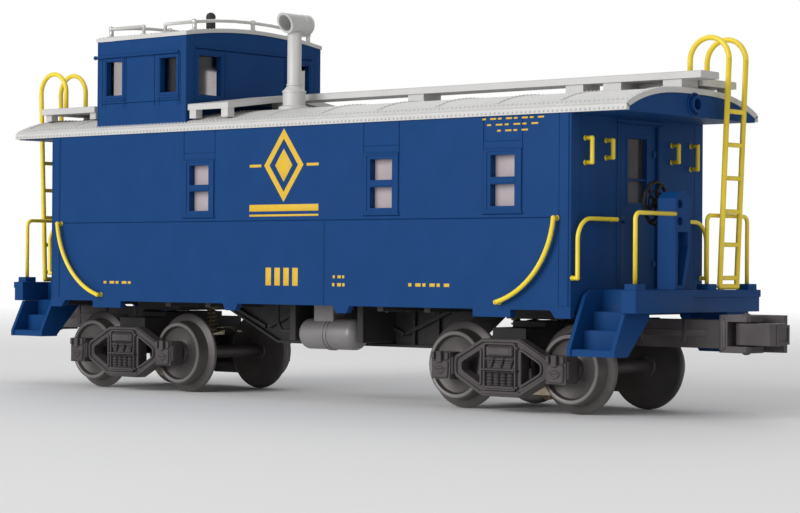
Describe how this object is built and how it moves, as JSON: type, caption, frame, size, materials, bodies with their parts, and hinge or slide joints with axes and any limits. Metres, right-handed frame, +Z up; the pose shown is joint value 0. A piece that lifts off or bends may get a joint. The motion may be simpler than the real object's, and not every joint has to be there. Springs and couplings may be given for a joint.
{
  "type": "model railway caboose",
  "caption": "Three-rail model railway caboose with a cupola, end platforms, ladders and turning four-wheel trucks.",
  "frame": {"origin": "centre of the car, level with the bottom of its wheel flanges", "axes": "+X along the car towards the front platform, +Y across it to the left side, +Z up"},
  "size_m": [0.2594, 0.0592, 0.1043],
  "materials": {
    "body_blue": "satin moulded and painted plastic",
    "roof_silver": "satin silver-grey painted plastic",
    "rail_yellow": "gloss yellow painted wire",
    "rail_silver": "satin silver painted wire",
    "truck_grey": "satin blackened die casting",
    "wheel_steel": "turned and blackened metal",
    "underframe_black": "matt black moulded plastic",
    "tank_grey": "satin dark grey moulded plastic",
    "brake_black": "satin black",
    "glazing": "frosted clear plastic",
    "pin_brass": "bright brass plated metal"
  },
  "bodies": {
    "carbody": {"floor_pan": "underframe_black", "centre_sill": "underframe_black", "air_tank": "tank_grey", "side_wall_right": "body_blue", "side_wall_left": "body_blue", "end_wall_front": "body_blue", "end_wall_rear": "body_blue", "window_glass": "glazing", "door_glass": "glazing", "main_roof": "roof_silver", "gable_front": "body_blue", "gable_rear": "body_blue", "cupola_side_right": "body_blue", "cupola_side_left": "body_blue", "cupola_end_front": "body_blue", "cupola_end_rear": "body_blue", "cupola_glass": "glazing", "cupola_roof": "roof_silver", "cupola_rails": "rail_silver", "cupola_vent": "underframe_black", "smoke_jack": "roof_silver", "roofwalk_front": "roof_silver", "roofwalk_rear": "roof_silver", "ladder_front": "rail_yellow", "ladder_rear": "rail_yellow", "platform_front": "body_blue", "platform_rear": "body_blue", "steps_front": "body_blue", "steps_rear": "body_blue", "railing_front": "rail_yellow", "railing_rear": "rail_yellow", "brake_stand_front": "body_blue", "brake_stand_rear": "body_blue", "brake_wheel_front": "brake_black", "brake_wheel_rear": "brake_black", "side_grabs_right": "rail_yellow", "side_grabs_left": "rail_yellow", "end_grabs_front": "rail_yellow", "end_grabs_rear": "rail_yellow", "kingpin_front": "pin_brass", "kingpin_rear": "pin_brass"},
    "truck_front": {"truck_bolster_front": "truck_grey", "side_frame_front_right": "truck_grey", "side_frame_front_left": "truck_grey", "pickup_front": "pin_brass", "coupler_front": "truck_grey"},
    "truck_rear": {"truck_bolster_rear": "truck_grey", "side_frame_rear_right": "truck_grey", "side_frame_rear_left": "truck_grey", "pickup_rear": "pin_brass", "coupler_rear": "truck_grey"},
    "wheelset_front_outer": {"wheelset_front_outer": "wheel_steel"},
    "wheelset_front_inner": {"wheelset_front_inner": "wheel_steel"},
    "wheelset_rear_inner": {"wheelset_rear_inner": "wheel_steel"},
    "wheelset_rear_outer": {"wheelset_rear_outer": "wheel_steel"},
    "knuckle_front": {"knuckle_front": "truck_grey"},
    "knuckle_rear": {"knuckle_rear": "truck_grey"}
  },
  "joints": [
    {"name": "truck_swivel_front", "type": "hinge", "parent": "carbody", "child": "truck_front", "pos_m": [0.0654, 0, 0.019], "axis": [0, 0, 1], "range_deg": [-14, 14]},
    {"name": "truck_swivel_rear", "type": "hinge", "parent": "carbody", "child": "truck_rear", "pos_m": [-0.0654, 0, 0.019], "axis": [0, 0, 1], "range_deg": [-14, 14]},
    {"name": "wheel_roll_front_outer", "type": "hinge", "parent": "truck_front", "child": "wheelset_front_outer", "pos_m": [0.08255, 0, 0.0106], "axis": [0, 1, 0], "continuous": true},
    {"name": "wheel_roll_front_inner", "type": "hinge", "parent": "truck_front", "child": "wheelset_front_inner", "pos_m": [0.04825, 0, 0.0106], "axis": [0, 1, 0], "continuous": true},
    {"name": "wheel_roll_rear_inner", "type": "hinge", "parent": "truck_rear", "child": "wheelset_rear_inner", "pos_m": [-0.04825, 0, 0.0106], "axis": [0, 1, 0], "continuous": true},
    {"name": "wheel_roll_rear_outer", "type": "hinge", "parent": "truck_rear", "child": "wheelset_rear_outer", "pos_m": [-0.08255, 0, 0.0106], "axis": [0, 1, 0], "continuous": true},
    {"name": "knuckle_swing_front", "type": "hinge", "parent": "truck_front", "child": "knuckle_front", "pos_m": [0.1213, -0.0036, 0.0194], "axis": [0, 0, -1], "range_deg": [0, 40]},
    {"name": "knuckle_swing_rear", "type": "hinge", "parent": "truck_rear", "child": "knuckle_rear", "pos_m": [-0.1213, 0.0036, 0.0194], "axis": [0, 0, -1], "range_deg": [0, 40]}
  ]
}
